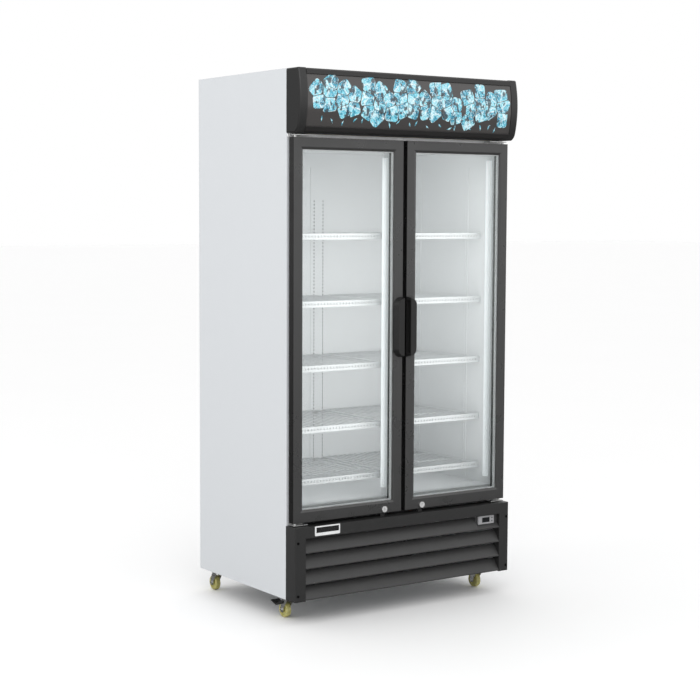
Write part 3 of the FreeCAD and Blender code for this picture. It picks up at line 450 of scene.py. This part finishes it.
FINISHES = {
    "cabinet_paint": painted("cabinet_paint_finish", colour(202, 205, 208), 0.42),
    "galvanised_sheet": galvanised("galvanised_sheet_finish", colour(196, 200, 202)),
    "insulation_foam": foamed("insulation_foam_finish"),
    "liner_coating": liner_paint("liner_coating_finish"),
    "surround_plastic": moulded("surround_plastic_finish", colour(226, 227, 228), 0.4, 0.05, 1.05),
    "canopy_plastic": cap_plastic("canopy_plastic_finish"),
    "canopy_sheet": painted("canopy_sheet_finish", colour(36, 35, 35), 0.4),
    "sign_acrylic": sign_face("sign_acrylic_finish"),
    "lamp_diffuser": glowing("lamp_diffuser_finish", colour(240, 244, 246), 0.25),
    "satin_aluminium": brushed("satin_aluminium_finish", colour(240, 240, 240), 0.32, "x"),
    # The door profile's faces that look along the world's x get a painted shade, a fifth of the base colour.
    "door_profile": painted("door_profile_finish", colour(50, 50, 50), 0.3, 0.04, 1.6, shine=0.85, painted_side_shade=0.2),
    "clear_glass": glass("clear_glass_finish"),
    "door_rubber": rubbery("door_rubber_finish", colour(30, 30, 30)),
    "handle_plastic": moulded("handle_plastic_finish", colour(30, 30, 30), 0.34),
    "lock_chrome": plated("lock_chrome_finish", colour(246, 246, 246), 0.22, 0.0, 0.55),
    "zinc_plate": plated("zinc_plate_finish", colour(214, 215, 216), 0.3, 0.1),
    "kick_paint": painted("kick_paint_finish", colour(38, 38, 38), 0.42, 0.06, 1.9),
    "slat_paint": painted("slat_paint_finish", colour(58, 58, 58), 0.42, 0.06, 1.8),
    "black_screw": painted("black_screw_finish", colour(5, 5, 5), 0.6, 0.1, 2.0, shine=0.1),
    "controller_plastic": moulded("controller_plastic_finish", colour(150, 150, 152), 0.36),
    "button_rubber": rubbery("button_rubber_finish", colour(58, 60, 62), 0.5),
    "compressor_paint": painted("compressor_paint_finish", colour(34, 34, 36), 0.3, 0.1, 2.0),
    "coil_metal": finned("coil_metal_finish", colour(190, 192, 194), 0.003, "x"),
    "motor_steel": plated("motor_steel_finish", colour(150, 152, 154), 0.4),
    "copper_pipe": copper("copper_pipe_finish"),
    "fan_plastic": moulded("fan_plastic_finish", colour(60, 60, 62), 0.4),
    "pan_plastic": moulded("pan_plastic_finish", colour(50, 50, 52), 0.45),
    "shelf_coating": painted("shelf_coating_finish", colour(214, 216, 217), 0.3, 0.05, 1.02),
    "strip_plastic": moulded("strip_plastic_finish", colour(206, 208, 209), 0.3, 0.04, 1.02),
    "wheel_tread": wheel_rubber("wheel_tread_finish"),
    "lever_plastic": moulded("lever_plastic_finish", colour(26, 26, 27), 0.4),
}


def finish_nodes():
    """Every carried-over node gets its slot's finish; the spacers and the trim strip are a paler metal."""
    spacer = plated("glass_spacer_finish", colour(250, 251, 252), 0.4, 0.0, 0.25)
    trim = plated("trim_strip_finish", colour(252, 252, 252), 0.35, 0.0, 0.3)
    special = {"left_glass_spacer": spacer, "right_glass_spacer": spacer, "trim_strip": trim}
    for name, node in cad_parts.items():
        for slot in node.material_slots:
            slot.material = special.get(name) or FINISHES[slot.material.name]


# -------------------------------------------------------------- extra pieces


def placed(name, data):
    """A new object in the scene."""
    made = bpy.data.objects.new(name, data)
    bpy.context.scene.collection.objects.link(made)
    return made


def meshed(name, mesh, material):
    """A finished mesh as an object with one material."""
    mesh.normal_update()
    data = bpy.data.meshes.new(name)
    mesh.to_mesh(data)
    mesh.free()
    data.materials.append(material)
    return placed(name, data)


def piece(name, mesh, body, material):
    """A finished mesh as a piece that rides on a body."""
    made = meshed(name, mesh, material)
    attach(made, body)
    return made


def rounded_outline(half_width, half_height, radius, steps=6):
    """The points of a rounded rectangle about the origin, anticlockwise."""
    points = []
    corners = [(1, 1, 0), (-1, 1, 90), (-1, -1, 180), (1, -1, 270)]
    for side_x, side_y, start in corners:
        middle_x = side_x * (half_width - radius)
        middle_y = side_y * (half_height - radius)
        for step in range(steps + 1):
            angle = math.radians(start + 90 * step / steps)
            points.append((middle_x + radius * math.cos(angle), middle_y + radius * math.sin(angle)))
    return points


def front_plate(centre, half_size, radius, back, rim):
    """A new mesh: a plate that faces -y. The rim is (inset, y) pairs from its edge inwards."""
    mesh = bmesh.new()
    half_width, half_height = half_size
    rows = []
    for inset, depth in [(0.0, back)] + rim:
        points = rounded_outline(half_width - inset, half_height - inset, max(radius - inset, 0.0004))
        rows.append([mesh.verts.new((centre[0] + x, depth, centre[1] + z)) for x, z in points])
    for outer, inner in zip(rows, rows[1:]):
        for i in range(len(outer)):
            j = (i + 1) % len(outer)
            mesh.faces.new((outer[i], outer[j], inner[j], inner[i]))
    mesh.faces.new(rows[-1])
    mesh.faces.new(list(reversed(rows[0])))
    return mesh


def badge_finish():
    """A blank name plate: a white rim and lower stripe round a black field."""
    g = Graph("badge_finish")
    parts = g.parts()
    off_x = g.maths("ABSOLUTE", g.maths("SUBTRACT", parts[0], BADGE_MIDDLE[0]))
    rise = g.maths("SUBTRACT", parts[2], BADGE_MIDDLE[1])
    inside_x = g.maths("LESS_THAN", off_x, FIELD_HALF_WIDTH)
    inside_top = g.maths("LESS_THAN", rise, FIELD_TOP)
    inside_low = g.maths("GREATER_THAN", rise, FIELD_BOTTOM)
    field = g.maths("MULTIPLY", inside_x, g.maths("MULTIPLY", inside_top, inside_low))
    haze = g.noise(40.0, 4.0)
    black = g.mix(haze, colour(24, 24, 25), colour(34, 34, 35))
    white = g.mix(haze, colour(214, 215, 216), colour(232, 233, 233))
    tint = g.mix(field, white, black)
    gloss = g.spread(haze, 0.2, 0.32)
    g.principled(Base_Color=tint, Roughness=gloss, Normal=g.bump(g.noise(500.0), 0.04, 0.0002))
    return g.material


def make_badge():
    """The blank plate on the kick panel."""
    mesh = front_plate(BADGE_MIDDLE, BADGE_HALF, BADGE_CORNER, BADGE_BACK_Y, BADGE_RIM)
    return piece("kick_badge", mesh, "cabinet", badge_finish())


def display_finish():
    """The controller's dark window: smoked and glossy."""
    g = Graph("display_finish")
    tint = g.mix(g.noise(60.0, 3.0), colour(16, 17, 19), colour(26, 28, 32))
    gloss = g.spread(g.noise(25.0, 4.0), 0.06, 0.16)
    g.principled(Base_Color=tint, Roughness=gloss, Coat_Weight=0.6, Coat_Roughness=0.03)
    return g.material


def make_display():
    """The window in the controller's face."""
    mesh = front_plate(DISPLAY_MIDDLE, DISPLAY_HALF, DISPLAY_CORNER, DISPLAY_BACK_Y, DISPLAY_RIM)
    return piece("controller_display", mesh, "cabinet", display_finish())


def on_sign(x, z):
    """A point just in front of the sign panel's curved face."""
    rise = z - SIGN_AXIS_Z
    reach = math.sqrt(SIGN_RADIUS**2 - rise**2)
    normal_y = -reach / SIGN_RADIUS
    normal_z = rise / SIGN_RADIUS
    return (x, SIGN_AXIS_Y - reach + PRINT_LIFT * normal_y, z + PRINT_LIFT * normal_z)


def cut_outline(points, middle, other):
    """The part of a convex outline that is nearer to its own middle than to the other one."""
    half = ((middle[0] + other[0]) / 2, (middle[1] + other[1]) / 2)
    away = (other[0] - middle[0], other[1] - middle[1])
    side = [(p[0] - half[0]) * away[0] + (p[1] - half[1]) * away[1] for p in points]
    kept = []
    for i, point in enumerate(points):
        j = (i + 1) % len(points)
        if side[i] <= 0:
            kept.append(point)
        if side[i] * side[j] < 0:
            share = side[i] / (side[i] - side[j])
            kept.append(tuple(a + share * (b - a) for a, b in zip(point, points[j])))
    return kept


def even_outline(points, count):
    """The same outline as a number of points at even steps along it."""
    lengths = [math.dist(p, points[(i + 1) % len(points)]) for i, p in enumerate(points)]
    total = sum(lengths)
    result = []
    edge, done = 0, 0.0
    for step in range(count):
        want = total * step / count
        while done + lengths[edge] < want:
            done += lengths[edge]
            edge += 1
        share = (want - done) / lengths[edge]
        start, end = points[edge], points[(edge + 1) % len(points)]
        result.append(tuple(a + share * (b - a) for a, b in zip(start, end)))
    return result


ICE_COLOURS = {
    "deep": (40, 118, 148),
    "mid": (80, 178, 206),
    "cyan": (122, 212, 230),
    "pale": (188, 232, 243),
    "white": (240, 250, 252),
    "dark": (44, 56, 66),
}


def ice_colour(rng, names):
    """A colour between two of the named ones."""
    first, second = rng.choice(names), rng.choice(names)
    share = rng.random()
    mixed = [a + share * (b - a) for a, b in zip(ICE_COLOURS[first], ICE_COLOURS[second])]
    return colour(*mixed)


def ice_places(rng):
    """Loose stacks of cubes along the sign: (x, z, half size, turn) of each."""
    places = []
    for column in range(ICE_COLUMNS):
        x = ICE_HALF_LENGTH * (2 * column / (ICE_COLUMNS - 1) - 1)
        wave = 0.016 * math.sin(column * 1.9) + 0.012 * math.sin(column * 0.8 + 1.0)
        stack = 3 if column % 3 else 2
        for row in range(stack):
            level = (row - (stack - 1) / 2) * ICE_ROW_STEP
            z = min(ICE_MIDDLE_Z + wave + level + rng.uniform(-0.006, 0.006), ICE_TOP_Z)
            half = rng.uniform(*CUBE_HALF_SIZES)
            places.append((x + rng.uniform(-0.010, 0.010), z, half, rng.uniform(0, 90)))
    return places


def cube_outline(rng, place, places):
    """The rounded outline of one cube, cut where its neighbours lie."""
    x, z, half, turn = place
    spin = Matrix.Rotation(math.radians(turn), 2)
    squeeze = rng.uniform(0.8, 1.0)
    outline = rounded_outline(half, half * squeeze, half * 0.35, 4)
    outline = [tuple(spin @ Vector(p)) for p in outline]
    outline = [(x + p[0], z + p[1]) for p in outline]
    for other in places:
        if 0 < math.dist((x, z), other[:2]) < CUBE_REACH:
            outline = cut_outline(outline, (x, z), other[:2])
    return outline


def cube_rings(mesh, outline, heart):
    """Rings of points on the sign, from near the cube's heart out to near its outline."""
    points = even_outline(outline, FACET_POINTS)
    rings = []
    for share in (0.3, 0.6, 0.85, 0.96):
        ring = [(heart[0] + share * (x - heart[0]), heart[1] + share * (z - heart[1])) for x, z in points]
        rings.append([mesh.verts.new(on_sign(x, z)) for x, z in ring])
    return rings


def cube_shades(rng, rings):
    """A colour for each point of the rings: three faces with pale edges between them."""
    faces = [
        ("white", "pale", "cyan", "cyan"),
        ("mid", "cyan", "deep", "cyan"),
        ("deep", "mid", "dark", "mid"),
    ]
    rng.shuffle(faces)
    shades = {}
    for ring in rings:
        for i, vertex in enumerate(ring):
            names = faces[i * 3 // FACET_POINTS]
            if i % (FACET_POINTS // 3) == 0 or ring is rings[-1] and rng.random() < 0.5:
                names = ("white", "cyan")
            shades[vertex] = ice_colour(rng, names)
    return shades


def add_cube(mesh, layer, rng, place, places):
    """One cube of ice, with three faces that meet at its heart."""
    x, z, half, _ = place
    outline = cube_outline(rng, place, places)
    if len(outline) < 3:
        return
    heart = (x + rng.uniform(-0.3, 0.3) * half, z + rng.uniform(-0.2, 0.35) * half)
    rings = cube_rings(mesh, outline, heart)
    middle = mesh.verts.new(on_sign(*heart))
    shades = cube_shades(rng, rings)
    shades[middle] = ice_colour(rng, ("white", "pale"))
    made = []
    for i in range(FACET_POINTS):
        j = (i + 1) % FACET_POINTS
        made.append(mesh.faces.new((middle, rings[0][i], rings[0][j])))
        for inner, outer in zip(rings, rings[1:]):
            made.append(mesh.faces.new((inner[i], outer[i], outer[j], inner[j])))
    for face in made:
        for loop in face.loops:
            loop[layer] = shades[loop.vert]


def add_shard(mesh, layer, rng, x, z):
    """A small chip of ice below the cubes."""
    length = rng.uniform(0.007, 0.012)
    width = rng.uniform(0.0018, 0.0036)
    turn = math.radians(rng.uniform(20, 160))
    along = Vector((math.cos(turn), math.sin(turn)))
    across = Vector((-along.y, along.x))
    bow = rng.uniform(-0.3, 0.3) * length
    stations = (-1.0, -0.5, 0.0, 0.5, 1.0)
    left, right = [], []
    for s in stations:
        wide = width * (1 - abs(s)) + 0.0003
        centre = Vector((x, z)) + along * length * s + across * bow * (1 - s * s)
        left.append(mesh.verts.new(on_sign(*(centre + across * wide))))
        right.append(mesh.verts.new(on_sign(*(centre - across * wide))))
    for i in range(len(stations) - 1):
        face = mesh.faces.new((left[i], right[i], right[i + 1], left[i + 1]))
        tone = ice_colour(rng, ("mid", "cyan", "pale", "deep"))
        for loop in face.loops:
            loop[layer] = tone


def make_ice():
    """The band of ice cubes printed on the sign."""
    rng = random.Random(7)
    mesh = bmesh.new()
    layer = mesh.loops.layers.float_color.new("facet")
    places = ice_places(rng)
    for place in places:
        add_cube(mesh, layer, rng, place, places)
    for step in range(SHARDS):
        x = SHARD_HALF_LENGTH * (2 * step / (SHARDS - 1) - 1) + rng.uniform(-0.014, 0.014)
        add_shard(mesh, layer, rng, x, rng.uniform(*SHARD_HEIGHTS))
    bmesh.ops.recalc_face_normals(mesh, faces=mesh.faces)
    for face in mesh.faces:
        if face.normal.y > 0:
            face.normal_flip()
    return piece("ice_cube_print", mesh, "cabinet", printed_ice("printed_ice"))


def make_sill():
    """The black rubber strip that closes the gap between the kick panel's top and the door surround."""
    mesh = front_plate(SILL_MIDDLE, SILL_HALF, SILL_CORNER, SILL_BACK_Y, SILL_RIM)
    return piece("sill_strip", mesh, "cabinet", FINISHES["door_rubber"])


# -------------------------------------------------------- floor, light, view


def floor_finish():
    """A seamless pale studio floor."""
    g = Graph("studio_floor_finish")
    haze = g.noise(0.8, 3.0)
    tint = g.mix(haze, (0.97, 0.97, 0.97, 1.0), (0.985, 0.985, 0.985, 1.0))
    g.principled(Base_Color=tint, Roughness=0.7)
    return g.material


def make_floor():
    """A wide flat floor just under the wheels."""
    mesh = bmesh.new()
    bmesh.ops.create_grid(mesh, x_segments=8, y_segments=8, size=60.0)
    floor = meshed("studio_floor", mesh, floor_finish())
    floor.location.z = -0.0005
    floor.visible_glossy = False


def make_world():
    """White above the horizon, dim below it, where only mirror-like surfaces look."""
    world = bpy.data.worlds.new("studio_world")
    world.use_nodes = True
    tree = world.node_tree
    tree.nodes.clear()
    place = tree.nodes.new("ShaderNodeTexCoord")
    parts = tree.nodes.new("ShaderNodeSeparateXYZ")
    tree.links.new(place.outputs["Generated"], parts.inputs[0])
    ramp = tree.nodes.new("ShaderNodeMapRange")
    for name, value in (("From Min", -0.14), ("From Max", -0.03), ("To Min", 0.12), ("To Max", 1.0)):
        ramp.inputs[name].default_value = value
    tree.links.new(parts.outputs[2], ramp.inputs["Value"])
    light = tree.nodes.new("ShaderNodeBackground")
    light.inputs["Color"].default_value = (1.0, 1.0, 1.0, 1.0)
    tree.links.new(ramp.outputs[0], light.inputs["Strength"])
    output = tree.nodes.new("ShaderNodeOutputWorld")
    tree.links.new(light.outputs[0], output.inputs["Surface"])
    bpy.context.scene.world = world


def area_lamp(name, place, size, power):
    """A rectangular lamp of that width and height."""
    data = bpy.data.lights.new(name, "AREA")
    data.shape = "RECTANGLE"
    data.size, data.size_y = size
    data.energy = power
    lamp = placed(name, data)
    lamp.location = place
    return lamp


def soft_light(name, place, power):
    """A large square lamp that looks at the middle of the cabinet."""
    lamp = area_lamp(name, place, (3.0, 3.0), power)
    aim = Vector((0.0, 0.0, 1.0)) - Vector(place)
    lamp.rotation_mode = "QUATERNION"
    lamp.rotation_quaternion = aim.to_track_quat("-Z", "Y")


def cabinet_light(name, x):
    """The light of the lamps inside, spread over one bay's front."""
    lamp = area_lamp(name, (x, *BAY_LIGHT_PLACE), BAY_LIGHT_SIZE, BAY_LIGHT_POWER)
    lamp.rotation_euler = (math.radians(90), 0.0, 0.0)
    lamp.visible_camera = False
    lamp.visible_glossy = False


def make_camera():
    """The camera stands at the left front, higher than the handles, and looks slightly down."""
    data = bpy.data.cameras.new("main_camera")
    data.sensor_width = 36.0
    data.lens = CAMERA_LENS
    data.clip_end = 200.0
    camera = placed("main_camera", data)
    yaw, pitch, roll = (math.radians(angle) for angle in CAMERA_TURN)
    ahead = Vector((math.sin(yaw) * math.cos(pitch), math.cos(yaw) * math.cos(pitch), math.sin(pitch)))
    level = Vector((math.cos(yaw), -math.sin(yaw), 0.0))
    upright = level.cross(ahead)
    right = math.cos(roll) * level + math.sin(roll) * upright
    up = -math.sin(roll) * level + math.cos(roll) * upright
    turn = Matrix((right, up, -ahead)).transposed().to_4x4()
    camera.matrix_world = Matrix.Translation(CAMERA_PLACE) @ turn
    bpy.context.scene.camera = camera


def make_studio():
    """The floor, the sky, the lamps and the camera."""
    make_floor()
    make_world()
    soft_light("key_light", (-3.0, -4.5, 4.2), 60.0)
    soft_light("side_light", (-5.0, 0.5, 2.5), 30.0)
    cabinet_light("cabinet_light_left", -BAY_MIDDLE_X)
    cabinet_light("cabinet_light_right", BAY_MIDDLE_X)
    make_camera()
    bpy.context.scene.view_settings.view_transform = "Standard"


finish_nodes()
make_badge()
make_display()
make_ice()
make_sill()
make_studio()
